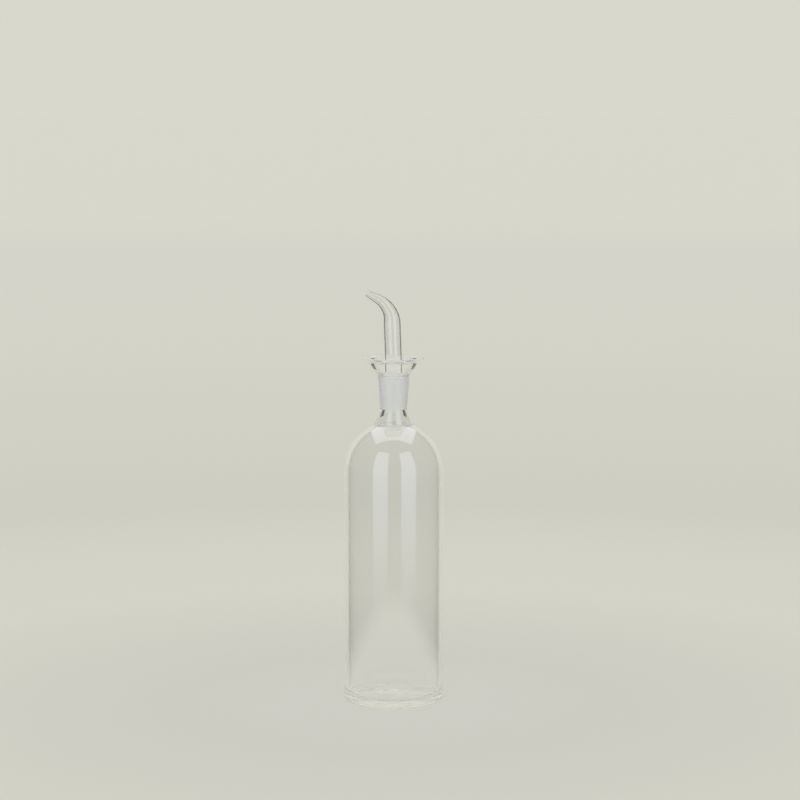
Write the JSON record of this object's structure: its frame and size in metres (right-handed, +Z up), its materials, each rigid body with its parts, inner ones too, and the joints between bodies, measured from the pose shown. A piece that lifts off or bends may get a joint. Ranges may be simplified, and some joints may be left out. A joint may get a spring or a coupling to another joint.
{
  "type": "oil cruet",
  "caption": "Clear glass oil cruet: a cylindrical bottle with a domed shoulder and a short ground-glass neck, closed by a glass pourer with a drip cup and a bent spout.",
  "frame": {"origin": "centre of the bottle's standing ring, on the table", "axes": "+Z up along the bottle's axis, and -X the way the spout pours"},
  "size_m": [0.065, 0.065, 0.2706],
  "materials": {
    "clear_glass": "clear borosilicate glass, fire-polished, with the plug and the socket ground to a matt white"
  },
  "bodies": {
    "root": {"bottle": "clear_glass", "pourer": "clear_glass"}
  },
  "joints": []
}
